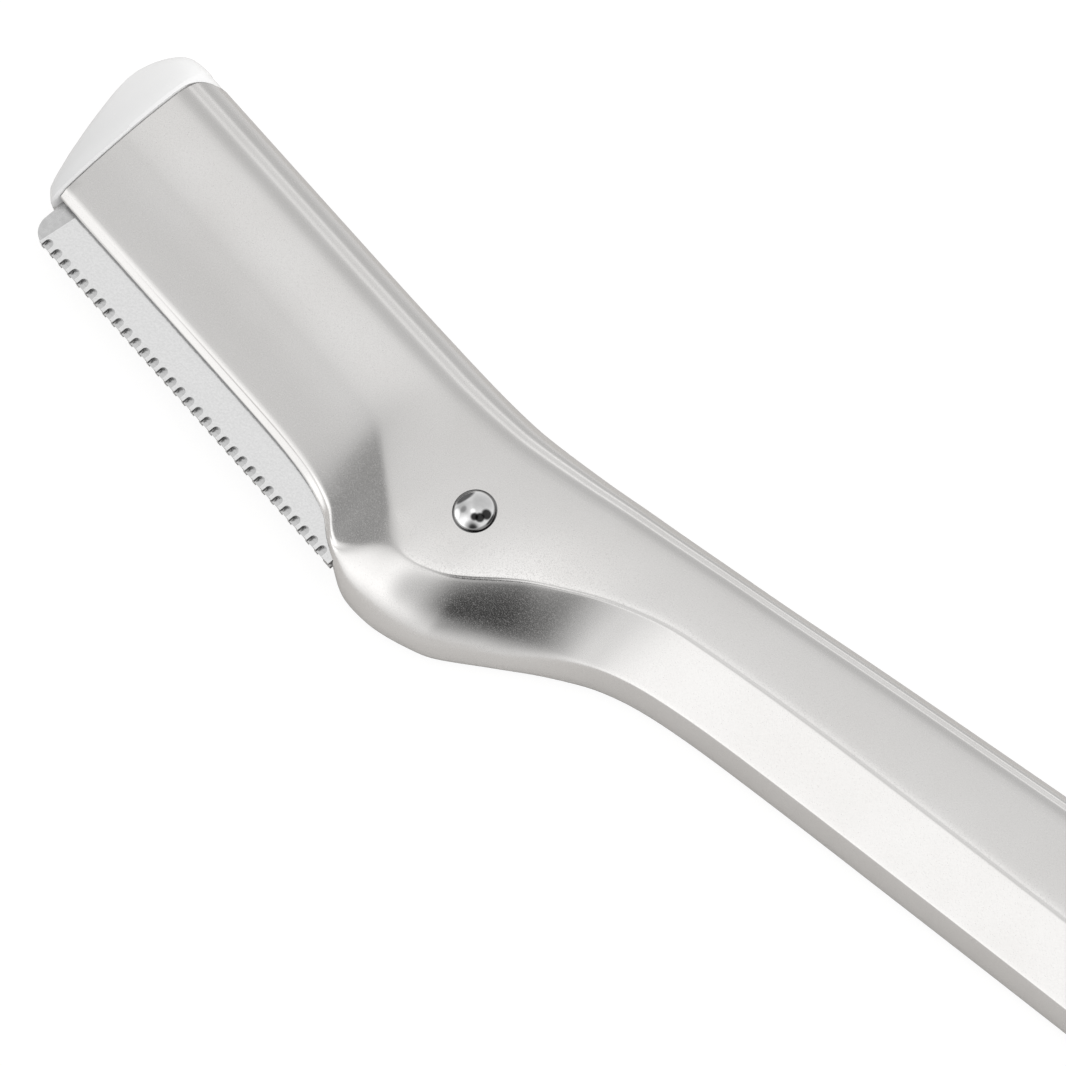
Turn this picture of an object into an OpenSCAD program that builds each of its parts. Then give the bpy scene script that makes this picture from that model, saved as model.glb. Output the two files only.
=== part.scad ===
// Eyebrow razor with a guarded blade unit that slides out of the tip of its metal head.
// The razor lies on its back. X runs from the tip to the handle's end, Y towards the spine
// and Z out of the front face. The origin is on the rivet's axis, in the plane of the back.

/* [Head] */
// Length of the head, from its open tip end to the rivet's axis
head_l = 34.7; // [32:0.1:40]
// Width of the metal head
head_w = 12.1; // [11:0.1:14]
// Height of the head's face over the back, along the slot
lip_h = 4; // [3.8:0.05:4.4]
// Height of the small bevel along the slot
lip_bevel = 0.5; // [0.2:0.05:0.6]
// Width of the small bevel along the slot
lip_bevel_w = 0.62; // [0.4:0.02:1]
// Depth of the heel's bulge, from the rivet's axis
heel_d = 9.4; // [8.8:0.1:11]
// Radius of the head's end corner at the spine
corner_r = 2.25; // [1.4:0.05:2.6]
// How far the end stands back at the spine
end_slant = 0.45; // [0:0.05:1]

/* [Handle] */
// Reach of the handle, from the rivet's axis to its end
handle_l = 97; // [85:1:115]
// Greatest width of the handle
handle_w = 12.6; // [11:0.1:14]
// Offset of the handle's end from the head's middle line
handle_rise = 20.5; // [16:0.1:24]
// Thickness of the handle and of the boss round the rivet
body_t = 5.4; // [5:0.05:6.5]
// Width of the bevel along the handle, from its crease to the outline
bevel_w = 5.05; // [3.5:0.05:5.6]
// Height of the bevel's foot over the back
foot_h = 3.2; // [2.6:0.05:3.6]
// Overhang of the side below the bevel's foot
side_flare = 0.85; // [0.4:0.05:1.2]
// Chamfer round the back
back_chamfer = 0.5; // [0.2:0.05:0.8]

/* [Spine bead] */
// Width of the raised bead on the head
bead_w = 1.85; // [1.2:0.05:2.2]
// Width of the raised bead at the handle's end
bead_end_w = 1; // [0.6:0.05:1.4]
// Height of the bead over the face
bead_h = 0.03; // [0:0.01:0.3]
// Depth of the valley beside the bead, under the face
valley_d = 0.1; // [0.05:0.01:0.2]
// Drop of the bead's rounded outer side
shoulder_h = 0.95; // [0.8:0.05:1.8]

/* [Slot] */
// Height of the slot's ceiling over the back
ceiling_h = 2.9; // [2.7:0.05:3]
// Thickness of the spine wall
spine_wall = 1.65; // [1.3:0.05:2]
// Distance of the slot's heel end from the rivet's axis
slot_end = 4.2; // [4:0.1:5]

/* [Back cover] */
// Thickness of the back cover
cover_t = 1; // [0.8:0.05:1.1]
// Depth of the rabbet that takes the cover's edge in the spine wall
rabbet = 0.6; // [0.3:0.05:0.9]
// Radius of the cover's round end about the rivet
cover_end_r = 4.1; // [3.6:0.1:4.4]

/* [Rivet] */
// Radius of the rivet's shank
shank_r = 0.95; // [0.7:0.05:1.1]
// Radius of the domed head
dome_r = 1.33; // [1.2:0.01:1.6]
// Height of the dome over the face
dome_h = 0.62; // [0.4:0.02:0.8]
// Depth that the domed head is let into the face
dome_seat = 0.25; // [0.1:0.05:0.4]
// Width of the dark groove round the dome
dome_groove = 0.1; // [0.05:0.01:0.15]
// Radius of the peened tail
peen_r = 1.35; // [1.2:0.05:1.5]
// Thickness of the peened tail
peen_t = 0.25; // [0.2:0.05:0.3]
// Radius of the burr washer
washer_r = 1.9; // [1.7:0.05:2.2]
// Thickness of the burr washer
washer_t = 0.3; // [0.2:0.05:0.4]

/* [Detent spring] */
// Thickness of the leaf
leaf_t = 0.22; // [0.15:0.01:0.25]
// Width of the leaf
leaf_w = 2.8; // [2.6:0.1:3.2]
// Length of the leaf, from the rivet's axis to its free end
leaf_l = 12.4; // [11:0.1:14]
// Rise of the leaf's free end over its clamped root
leaf_rise = 0.4; // [0.2:0.02:0.5]
// Radius of the dimple that clicks into the carrier
dimple_r = 0.4; // [0.3:0.02:0.45]

/* [Blade] */
// Gap between the blade's heel end and the slot's end
heel_gap = 0.3; // [0.2:0.05:1]
// How far the honed edge stands out below the head
edge_out = 2.7; // [2.2:0.05:3.2]
// Width of the blade strip
blade_w = 6.7; // [6:0.1:7]
// Thickness of the blade strip
blade_t = 0.3; // [0.2:0.01:0.3]
// Width of the honed bevel
hone_w = 0.3; // [0.2:0.05:0.8]
// Radius of the blade's tip corner
blade_corner_r = 1.3; // [0.8:0.1:1.6]
// How far the blade stands out of the head's tip end
blade_out = 0; // [0:0.05:0.15]

/* [Comb guards] */
// Thickness of a guard plate
guard_t = 0.3; // [0.2:0.01:0.3]
// Width of a guard plate
guard_w = 4.2; // [3.6:0.1:4.4]
// Distance of the front guard's tip end from the blade's tip end
guard_setback = 1.1; // [0.6:0.1:1.4]
// How far the guard's teeth stand over the honed edge
tooth_over = 0.02; // [0:0.01:0.15]
// Distance from notch to notch
notch_pitch = 0.89; // [0.8:0.01:1.2]
// Width of a notch
notch_w = 0.6; // [0.4:0.02:0.64]
// Depth of a notch
notch_d = 0.62; // [0.5:0.02:0.8]

/* [Blade carrier] */
// Length of the domed tip cap
cap_l = 3.8; // [3:0.05:5]
// Height of the cap beside the head's end, at its spine side
cap_h = 5.6; // [5.2:0.05:5.8]
// Clearance of the carrier in its slot
slide_gap = 0.15; // [0.1:0.01:0.25]
// Radius of the posts that are staked through the blade
post_r = 0.75; // [0.5:0.05:0.9]
// Radius of the posts' staked heads
stake_r = 1.1; // [0.9:0.05:1.3]

/* [Hidden] */
$fn = 48;
overrun = 1;
fit_gap = 0.03;

// Colours of the finishes
satin_nickel = [0.78, 0.78, 0.76];
polished_steel = [0.86, 0.87, 0.88];
blade_steel = [0.66, 0.67, 0.69];
guard_steel = [0.84, 0.84, 0.85];
white_plastic = [0.96, 0.96, 0.95];

half_w = head_w / 2;

// Smooth curve through the points [x, value] of a table, read at x
function span_at(table, x) = max([0, for (i = [0:len(table) - 2]) if (x >= table[i][0]) i]);
function rise_at(table, i) =
    let (a = max(0, i - 1), b = min(len(table) - 1, i + 1))
    (table[b][1] - table[a][1]) / (table[b][0] - table[a][0]);
function curve_at(table, x) =
    let (i = span_at(table, x), w = table[i + 1][0] - table[i][0],
         u = (x - table[i][0]) / w, u2 = u * u, u3 = u2 * u)
    (2 * u3 - 3 * u2 + 1) * table[i][1] + (3 * u2 - 2 * u3) * table[i + 1][1]
    + w * ((u3 - 2 * u2 + u) * rise_at(table, i) + (u3 - u2) * rise_at(table, i + 1));

// Straight steps through the points [x, value] of a table, read at x
function line_at(table, x) =
    let (i = span_at(table, x), u = (x - table[i][0]) / (table[i + 1][0] - table[i][0]))
    table[i][1] + min(1, max(0, u)) * (table[i + 1][1] - table[i][1]);

// The handle's middle line and width: shares of handle_l, of handle_rise and of handle_w
handle_shares = [[0.041, -0.004, 1.218], [0.072, 0.070, 1.085], [0.103, 0.143, 0.952],
    [0.139, 0.214, 0.847], [0.184, 0.271, 0.819], [0.258, 0.348, 0.843], [0.361, 0.447, 0.887],
    [0.485, 0.564, 0.940], [0.619, 0.685, 0.988], [0.773, 0.815, 1], [0.907, 0.925, 0.965],
    [1, 1, 0.94]];

// Spine outline before the rivet: shares of head_l and of half the head's width
spine_shares = [[-1, 1.018], [-0.42, 1.022], [-0.27, 1.032], [-0.187, 1.042], [-0.105, 1.062],
    [-0.028, 1.104]];
spine_line = concat(
    [for (s = spine_shares) [s[0] * head_l, s[1] * half_w]],
    [for (s = handle_shares) [s[0] * handle_l, s[1] * handle_rise + s[2] * handle_w / 2]]);

// Lower outline of the head along the slot: shares of head_l and of half the head's width
lip_shares = [[-1, 1], [-0.42, 1.003], [-0.332, 1.02], [-0.266, 1.063], [-0.2, 1.17]];
// Lower outline round the heel: shares of head_l and of heel_d
heel_shares = [[-0.167, 0.838], [-0.136, 0.9], [-0.11, 0.953], [-0.085, 0.99], [-0.05, 1],
    [-0.009, 0.988], [0.03, 0.952], [0.075, 0.893]];
low_line = concat(
    [for (s = lip_shares) [s[0] * head_l, -s[1] * half_w]],
    [for (s = heel_shares) [s[0] * head_l, -s[1] * heel_d]],
    [for (s = handle_shares) [s[0] * handle_l, s[1] * handle_rise - s[2] * handle_w / 2]]);

// The crease that bounds the flat face. Before the rivet: shares of head_l and of half the
// head's width. Past it, shares of handle_l and of bevel_w up from the lower outline
crease_shares = [[-1, 0.14], [-0.36, 0.14], [-0.255, 0.15], [-0.19, 0.35], [-0.12, 0.59],
    [-0.06, 0.78], [-0.02, 0.84]];
crease_up_shares = [[0.009, 0.9], [0.022, 0.93], [0.036, 1.04], [0.047, 1.12], [0.061, 1.15],
    [0.077, 1.14], [0.1, 1.1], [0.124, 1.03], [0.153, 1], [0.3, 1], [0.8, 1], [0.93, 0.9],
    [1, 0.8]];
crease_line = concat(
    [for (s = crease_shares) [s[0] * head_l, -s[1] * half_w]],
    [for (s = crease_up_shares)
        [s[0] * handle_l, curve_at(low_line, s[0] * handle_l) + s[1] * bevel_w]]);

// Rounding of the handle's end, as a factor on the width and on the height
end_round_l = handle_w * 0.55;
end_edge_l = body_t * 0.5;
end_min_share = 0.12;
function end_width(x) =
    let (t = max(0, (x - handle_l + end_round_l) / end_round_l))
    max(end_min_share, sqrt(max(0, 1 - t * t)));
function end_height(x) =
    let (t = max(0, (x - handle_l + end_edge_l) / end_edge_l))
    0.45 + 0.55 * sqrt(max(0, 1 - t * t));

function middle_y(x) = (curve_at(spine_line, x) + curve_at(low_line, x)) / 2;
function shrunk(x, y) = middle_y(x) + (y - middle_y(x)) * end_width(x);

// The bead narrows from the head to the handle: shares of head_l along, of the change in width
bead_shares = [[-1, 0], [-0.2, 0.08], [0.15, 0.75], [0.45, 1]];
bead_line = concat([for (s = bead_shares) [s[0] * head_l, s[1]]], [[handle_l, 1]]);
function bead_at(x) = bead_w + line_at(bead_line, x) * (bead_end_w - bead_w);

// Lines that run along the body between its lower outline and the crease. Each entry has a share
// of head_l along, a share of the way to the crease, and a height as a share of body_t. The wall
// line is the top of the lower side. The ridge bounds the strip along the slot, then runs up
// across the heel to the boss: past it the bevel falls, and before it lies the heel's facet.
wall_share_z = (lip_h - lip_bevel) / body_t;
lip_share_z = lip_h / body_t;
lip_share_y = lip_bevel_w / (half_w * (1 - crease_shares[0][1]));
foot_share_z = foot_h / body_t;
foot_share_y = side_flare / bevel_w;
wall_shares = [[-1, 0, wall_share_z], [-0.3, 0, wall_share_z], [-0.19, 0.008, 0.64],
    [-0.13, 0.022, 0.605], [-0.085, 0.045, 0.55], [-0.03, 0.09, 0.54], [0.03, 0.155, 0.57],
    [0.09, 0.25, 0.575], [0.15, 0.305, 0.55], [0.21, 0.292, 0.535], [0.29, 0.245, 0.56],
    [0.35, 0.208, foot_share_z], [0.55, foot_share_y, foot_share_z]];
ridge_shares = [[-1, lip_share_y, lip_share_z], [-0.3, lip_share_y, lip_share_z],
    [-0.2, 0.125, 0.745], [-0.16, 0.115, 0.742], [-0.135, 0.15, 0.748], [-0.11, 0.35, 0.806],
    [-0.085, 0.62, 0.888], [-0.06, 0.86, 0.948], [-0.035, 0.93, 0.958], [0, 0.94, 0.95],
    [0.2, 0.94, 0.95], [0.4, 0.94, 0.97]];
crease_z_shares = [[-1, 0.926], [-0.36, 0.926], [-0.28, 0.935], [-0.22, 0.955], [-0.16, 0.972],
    [-0.1, 0.976], [-0.04, 0.968], [0.03, 0.96], [0.2, 0.96], [0.4, 0.985]];
// Crowns of the head's face and of the heel's bulge, and the rounding of the bevel's foot, each
// as a share of body_t
hump_shares = [[-1, 0.013], [-0.34, 0.013], [-0.22, 0.006], [-0.14, 0]];
bulge_shares = [[-1, 0], [-0.17, 0], [-0.1, 0.037], [-0.05, 0.041], [0, 0.033], [0.05, 0.018],
    [0.09, 0.007], [0.14, 0]];
foot_round_shares = [[-1, 0.019], [-0.18, 0.022], [-0.12, 0.093], [-0.06, 0.167], [0.01, 0.148],
    [0.07, 0.074], [0.12, 0.03], [0.3, 0.026]];

function run_of(table, k) =
    let (last = table[len(table) - 1])
    concat([for (s = table) [s[0] * head_l, s[k]]], [[handle_l, last[k]]]);
wall_y_run = run_of(wall_shares, 1);
wall_z_run = run_of(wall_shares, 2);
ridge_y_run = run_of(ridge_shares, 1);
ridge_z_run = run_of(ridge_shares, 2);
crease_z_run = run_of(crease_z_shares, 1);
hump_run = run_of(hump_shares, 1);
bulge_run = run_of(bulge_shares, 1);
foot_round_run = run_of(foot_round_shares, 1);

// Half the widths over which the crease and the ridge are rounded
crease_round = 0.2;
ridge_round = 0.3;

// One section of the body at x, as [y, z] points from the back's lower edge, up over the
// face and the bead, and down the spine
low_side_h = 1;
function section(x) =
    let (lo = curve_at(low_line, x), sp = curve_at(spine_line, x), cr = curve_at(crease_line, x),
         w = cr - lo, bead = bead_at(x), top = body_t,
         wall = [lo + w * curve_at(wall_y_run, x), top * curve_at(wall_z_run, x)],
         ridge = [lo + w * curve_at(ridge_y_run, x), top * curve_at(ridge_z_run, x)],
         crease = [cr, top * curve_at(crease_z_run, x)],
         side = wall - [lo, low_side_h], fall = ridge - wall, rise = crease - ridge,
         up = fall / norm(fall), over = rise / norm(rise),
         out = [-up[1], up[0]] * top * curve_at(bulge_run, x),
         hump = [0, top * curve_at(hump_run, x)],
         foot = min(top * curve_at(foot_round_run, x), 0.3 * norm(fall)),
         before = wall - side / norm(side) * foot, after = wall + up * foot,
         near = min(ridge_round, 0.42 * norm(fall), 0.3 * norm(rise)),
         close = min(crease_round, 0.3 * norm(rise)),
         valley_y = sp - bead, face_w = valley_y - cr)
    [
        [lo + back_chamfer * 1.6, 0],
        [lo + back_chamfer * 0.45, back_chamfer * 0.5],
        [lo, low_side_h],
        before,
        0.6 * wall + 0.2 * (before + after),
        after + 0.4 * out,
        wall + 0.38 * fall + 0.9 * out,
        wall + 0.68 * fall + 0.9 * out,
        ridge - near * up + 0.15 * out,
        ridge,
        ridge + near * over,
        ridge + 0.38 * rise + hump,
        ridge + 0.68 * rise + hump,
        crease - close * over,
        face_at(crease, face_w, min(0.05, close / face_w)),
        face_at(crease, face_w, 0.14),
        face_at(crease, face_w, 0.4),
        face_at(crease, face_w, 0.72),
        [valley_y - 0.5 * bead, top],
        [valley_y - 0.2 * bead, top - 0.45 * valley_d],
        [valley_y, top - valley_d],
        [valley_y + 0.18 * bead, top - 0.2 * valley_d],
        [valley_y + 0.36 * bead, top + bead_h],
        [valley_y + 0.52 * bead, top - 0.04 * shoulder_h],
        [valley_y + 0.76 * bead, top - 0.35 * shoulder_h],
        [sp, top - shoulder_h],
        [sp, low_side_h],
        [sp - back_chamfer * 0.3, back_chamfer * 0.6],
        [sp - back_chamfer, 0]
    ];

// A point of the flat face, at a share of its width from the crease. It rises to the boss
function face_at(crease, face_w, share) =
    [crease[0] + share * face_w, body_t - (body_t - crease[1]) * pow(1 - share, 2)];

// Places of the sections: even along the head, closer round the heel, closer at the end
head_station_shares = concat([for (i = [0:8]) -1.02 + i * 0.0775], [for (i = [0:3]) -0.36 + i * 0.04],
    [for (i = [0:12]) -0.2 + i * 0.02], [for (i = [0:3]) 0.07 + i * 0.03],
    [for (i = [0:9]) 0.19 + i * 0.065]);
handle_station_shares = [0.32, 0.37, 0.42, 0.48, 0.54, 0.6, 0.66, 0.72, 0.78, 0.84, 0.88, 0.915,
    0.94, 0.96, 0.973, 0.983, 0.991, 0.997, 1];
stations = concat([for (s = head_station_shares) s * head_l],
    [for (s = handle_station_shares) s * handle_l]);

function section_at(x) =
    let (k = end_height(x), mid_z = body_t * 0.47)
    [for (p = section(x)) [x, shrunk(x, p[0]), mid_z + (p[1] - mid_z) * k]];

// Skin over a list of rings that all have the same number of points
module skin(rings) {
    n = len(rings[0]);
    m = len(rings);
    sides = [for (i = [0:m - 2], j = [0:n - 1])
        let (a = i * n + j, b = i * n + (j + 1) % n)
        each [[a, b, b + n], [a, b + n, a + n]]];
    polyhedron(points = [for (r = rings) each r],
        faces = concat(sides, [[for (j = [n - 1:-1:0]) j]], [[for (j = [0:n - 1]) (m - 1) * n + j]]));
}

// Outline of the back cover, and of its recess when it is grown by a gap. Its lower edge follows
// the head's outline, and its round end lies about the rivet
cover_edge_shares = [-0.42, -0.332, -0.3, -0.266, -0.23, -0.2, -0.175, -0.15];
cover_heel_share = 0.75;
cover_neck_share = 1.2;
cover_inset = 0.1;
module cover_outline(gap) {
    tip_x = -head_l - overrun * sign(gap);
    heel_x = -slot_end + gap;
    seat_y = half_w - spine_wall + rabbet + gap;
    edge_y_at = [for (s = cover_edge_shares) curve_at(low_line, s * head_l) + cover_inset - gap];
    edge = [for (i = [0:len(edge_y_at) - 1]) [cover_edge_shares[i] * head_l, edge_y_at[i]]];
    neck_y = -cover_heel_share * cover_end_r - gap;
    polygon(concat(
        [[tip_x, seat_y], [tip_x, -half_w + cover_inset - gap]],
        edge,
        [[heel_x, edge_y_at[len(edge_y_at) - 1]], [heel_x, neck_y], [0, neck_y]],
        [[0, cover_end_r + gap], [-cover_neck_share * slot_end, seat_y]]));
    circle(r = cover_end_r + gap, $fn = 64);
}

// Plan of the slot, open at the tip end and along the lower side
module slot_plan() {
    x0 = -head_l - overrun;
    y0 = -heel_d - overrun;
    translate([x0, y0]) square([-slot_end - x0, half_w - spine_wall - y0]);
}

// Relief of the slot's mouth, which leaves the lip clear of the front guard. It slopes up from
// the ceiling, over the guard, to close under the lip's bevel at the outline
mouth_in = 0.9;
mouth_edge = 0.12;
mouth_back = 0.3;
mouth_steps = 20;
mouth_rise_share = 0.77;
mouth_top = ceiling_h + mouth_rise_share * (lip_h - lip_bevel - ceiling_h);
mouth_low = ceiling_h - 3 * slide_gap;
mouth_corners = [[-overrun, mouth_low - overrun], [-overrun, mouth_top], [mouth_edge, mouth_top],
    [mouth_in, mouth_low], [mouth_in, mouth_low - overrun]];
module mouth_relief() {
    tip_x = -head_l - overrun;
    step = (-slot_end - mouth_back - tip_x) / mouth_steps;
    skin([for (x = [for (i = [0:mouth_steps]) tip_x + i * step])
        [for (c = mouth_corners) [x, curve_at(low_line, max(x, -head_l)) + c[0], c[1]]]]);
}

module handle_body() color(satin_nickel) difference() {
    skin([for (x = stations) section_at(x)]);
    mouth_relief();
    // Slot for the blade unit
    translate([0, 0, cover_t - fit_gap]) linear_extrude(ceiling_h - cover_t + fit_gap) slot_plan();
    // Recess for the back cover
    translate([0, 0, -overrun]) linear_extrude(cover_t + overrun) cover_outline(fit_gap);
    // Seat of the spring's root over the cover
    translate([0, 0, cover_t - fit_gap]) linear_extrude(leaf_t + 2 * fit_gap) leaf_root(fit_gap);
    // Bore for the rivet, and the seat of its domed head
    translate([0, 0, -overrun]) cylinder(r = shank_r + fit_gap, h = body_t + 2 * overrun);
    translate([0, 0, body_t - dome_seat]) cylinder(r = dome_r + dome_groove, h = dome_seat + overrun);
    // End of the head, with its round corner at the spine
    translate([0, 0, -overrun]) linear_extrude(body_t + 2 * overrun) past_end(0);
}

// The head's end in plan: it stands back a little towards the spine
function end_x(y) = -head_l + end_slant * (y + half_w) / head_w;
spine_y = spine_shares[0][1] * half_w;
corner_y = spine_y - corner_r;

// Plan of all that lies past the head's end, grown by a gap: the end is straight and its
// corner at the spine is round
module past_end(gap) difference() {
    far_x = -head_l - cap_l - 2 * overrun;
    near_x = -head_l + end_slant + corner_r;
    low_y = -heel_d - overrun;
    high_y = spine_y + overrun;
    translate([far_x, low_y]) square([near_x - far_x, high_y - low_y]);
    translate([-gap, 0]) polygon([[end_x(low_y - overrun), low_y - overrun], [end_x(corner_y), corner_y],
        [near_x + overrun, corner_y], [near_x + overrun, low_y - overrun]]);
    translate([end_x(corner_y) + corner_r, corner_y]) circle(r = corner_r + gap, $fn = 64);
    translate([end_x(corner_y) + corner_r, corner_y]) square([corner_r, corner_r + gap]);
}

module head_back_cover() color(satin_nickel) difference() {
    linear_extrude(cover_t) cover_outline(0);
    cylinder(r = shank_r + fit_gap, h = 3 * cover_t, center = true);
    // Sink for the burr washer and the peened tail
    translate([0, 0, -overrun]) cylinder(r = washer_r + dome_groove, h = peen_t + washer_t + overrun);
    translate([0, 0, -overrun]) linear_extrude(cover_t + 2 * overrun) past_end(0);
}

module rivet() color(polished_steel) rotate_extrude($fn = 64) {
    seat_z = body_t - dome_seat;
    dome_top = body_t + dome_h;
    // Radius of the sphere that gives the dome its height over its rim
    rim_z = body_t + 0.15 * dome_h;
    cap_h = dome_top - rim_z;
    ball_r = (dome_r * dome_r + cap_h * cap_h) / (2 * cap_h);
    square([peen_r, peen_t]);
    square([shank_r, seat_z + fit_gap]);
    translate([0, seat_z]) square([dome_r, rim_z - seat_z]);
    intersection() {
        translate([0, dome_top - ball_r]) circle(r = ball_r, $fn = 96);
        translate([0, rim_z - fit_gap]) square([dome_r, cap_h + 2 * fit_gap]);
    }
}

module rivet_washer() color(blade_steel) translate([0, 0, peen_t]) difference() {
    cylinder(r = washer_r, h = washer_t);
    cylinder(r = shank_r + fit_gap, h = 3 * washer_t, center = true);
}

// Plan of the leaf's root round the rivet, grown by a gap
leaf_root_r = 2.1;
module leaf_root(gap) {
    circle(r = leaf_root_r + gap);
    translate([-slot_end - overrun, -leaf_w / 2 - gap]) square([slot_end + overrun, leaf_w + 2 * gap]);
}

// The leaf's profile along its length, bent up from the cover, with a dimple near its end
dimple_back = 1.3;
module leaf_profile() {
    bend_x = -slot_end * 1.2;
    flat_x = -leaf_l + dimple_back * 2;
    polygon([
        [0, 0], [0, leaf_t], [bend_x, leaf_t], [flat_x, leaf_rise + leaf_t],
        [-leaf_l, leaf_rise + leaf_t], [-leaf_l, leaf_rise], [flat_x, leaf_rise], [bend_x, 0]]);
}

module detent_spring() color(blade_steel) translate([0, 0, cover_t]) difference() {
    union() {
        rotate([90, 0, 0]) translate([0, 0, -leaf_w / 2]) linear_extrude(leaf_w) leaf_profile();
        linear_extrude(leaf_t) circle(r = leaf_root_r);
        // The dimple is a short round ridge across the leaf
        intersection() {
            translate([-leaf_l + dimple_back, leaf_w / 2, leaf_rise + leaf_t / 2]) rotate([90, 0, 0])
                cylinder(r = dimple_r, h = leaf_w);
            translate([-leaf_l, -leaf_w / 2, leaf_rise]) cube([2 * dimple_back, leaf_w, 2 * dimple_r]);
        }
    }
    cylinder(r = shank_r + fit_gap, h = 3 * leaf_t, center = true);
}

// Heights of the blade and the guards in the slot, counted down from its ceiling
guard_top = ceiling_h - slide_gap;
blade_top = guard_top - guard_t;
blade_bottom = blade_top - blade_t;
rear_bottom = blade_bottom - guard_t;

// Places along the blade, which fills the slot's length, and across it
blade_x0 = -head_l - blade_out;
blade_l = -slot_end - heel_gap - blade_x0;
edge_y = half_w + edge_out;
post_x_shares = [0.14, 0.5, 0.86];
post_y = -edge_y + blade_w - stake_r - 0.2 * stake_r;

// A guard has as many notches as its length holds
notch_x0 = blade_x0 + guard_setback + notch_w * 0.9;
notch_count = floor((blade_x0 + blade_l - notch_w - notch_x0) / notch_pitch) + 1;

module blade() color(blade_steel) difference() {
    intersection() {
        translate([0, 0, blade_bottom]) linear_extrude(blade_t) blade_plan();
        // Section of the strip with its honed edge
        translate([blade_x0, 0, (blade_bottom + blade_top) / 2]) rotate([90, 0, 90]) linear_extrude(blade_l)
            polygon([[-edge_y, 0], [-edge_y + hone_w, blade_t / 2], [-edge_y + blade_w, blade_t / 2],
                [-edge_y + blade_w, -blade_t / 2], [-edge_y + hone_w, -blade_t / 2]]);
    }
    for (s = post_x_shares)
        translate([blade_x0 + s * blade_l, post_y, blade_bottom - overrun])
            cylinder(r = post_r + fit_gap, h = blade_t + 2 * overrun);
}

// Plan of the blade: its tip end is round where it leaves the head
module blade_plan() {
    r = blade_corner_r;
    translate([blade_x0 + r, -edge_y]) square([blade_l - r, blade_w]);
    translate([blade_x0, -edge_y + r]) square([r, blade_w - r]);
    translate([blade_x0 + r, -edge_y + r]) circle(r = r, $fn = 64);
}

// Plan of a guard plate, with its row of round-ended notches
tip_slant = 0.5;
module guard_plan() difference() {
    x0 = blade_x0 + guard_setback;
    y0 = -edge_y - tooth_over;
    x1 = blade_x0 + blade_l;
    polygon([[x0, y0], [x1, y0], [x1, y0 + guard_w], [x0 + tip_slant, y0 + guard_w]]);
    for (i = [0:notch_count - 1])
        translate([notch_x0 + i * notch_pitch, y0]) {
            translate([0, notch_d - notch_w / 2]) circle(r = notch_w / 2, $fn = 24);
            translate([-notch_w / 2, -overrun]) square([notch_w, notch_d - notch_w / 2 + overrun]);
        }
}

module front_guard() color(guard_steel) translate([0, 0, blade_top]) linear_extrude(guard_t) guard_plan();

module rear_guard() color(guard_steel) translate([0, 0, rear_bottom]) linear_extrude(guard_t) guard_plan();

// Outline of the domed cap, ring by ring from the head's end out to the tip: the distance out
// as a share of cap_l, and the slot side and the spine side as shares of half the head's width
cap_side_shares = [[0, -1.106, 1.03], [0.06, -1.1, 1.034], [0.12, -1.08, 1.036],
    [0.18, -1.05, 1.036], [0.25, -1.02, 1.034], [0.34, -0.92, 1.03], [0.43, -0.79, 1.022],
    [0.52, -0.66, 1.01], [0.62, -0.49, 0.98], [0.73, -0.3, 0.92], [0.83, -0.11, 0.835],
    [0.91, 0.05, 0.745], [0.965, 0.18, 0.65], [1, 0.32, 0.54]];
// The cap's top beside the head's end follows the head's face: shares of half the head's width
// and of cap_h
cap_top_shares = [[-1.1, 0.765], [-0.9, 0.785], [-0.14, 0.912], [0.35, 0.97], [0.7, 1], [1.1, 1]];
cap_top_line = [for (s = cap_top_shares) [s[0] * half_w, s[1] * cap_h]];
cap_base = 0.15;
cap_points = 36;
// Rounding of the cap's rim at the gap to the head
cap_rim = 0.25;
// Power of the cap's section, which is fuller than an ellipse
cap_power = 0.45;
// The cap's top falls away from the head's end to this share of its height at the tip
cap_tip_share = 0.3;
function signed_power(v, p) = sign(v) * pow(abs(v), p);
function cap_ring(s, inset = 0, out = 0) =
    let (lo = s[1] * half_w + inset, hi = s[2] * half_w - inset, t = s[0],
         zc = cap_base + (lip_h - slide_gap - cap_base) * (0.5 - 0.06 * t),
         fall = 1 - (1 - cap_tip_share) * pow(t, 1.3))
    [for (i = [0:cap_points - 1])
        let (a = -360 * i / cap_points,
             c = signed_power(cos(a), cap_power),
             n = signed_power(sin(a), cap_power),
             y = (lo + hi) / 2 + (hi - lo) / 2 * c,
             up = line_at(cap_top_line, y) - zc - inset,
             z = zc + (n > 0 ? n * up * fall : n * (zc - cap_base - inset) * sqrt(fall)))
        [end_x(y) - slide_gap - t * cap_l - out, y, z]];

module blade_carrier() color(white_plastic) union() {
    // Domed tip cap
    skin(concat([for (i = [len(cap_side_shares) - 1:-1:1]) cap_ring(cap_side_shares[i])],
        [cap_ring(cap_side_shares[0], 0.3 * cap_rim, 0.3 * cap_rim), cap_ring(cap_side_shares[0], cap_rim)]));
    difference() {
        union() {
            carrier_tongue();
            cap_horn();
        }
        tail_channel();
    }
    // Posts that are staked through the blade
    for (s = post_x_shares) translate([blade_x0 + s * blade_l, post_y, tongue_z]) {
        cylinder(r = post_r, h = guard_top - tongue_z);
        translate([0, 0, blade_top - tongue_z]) cylinder(r1 = stake_r, r2 = stake_r * 0.8, h = guard_t);
    }
}

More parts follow.
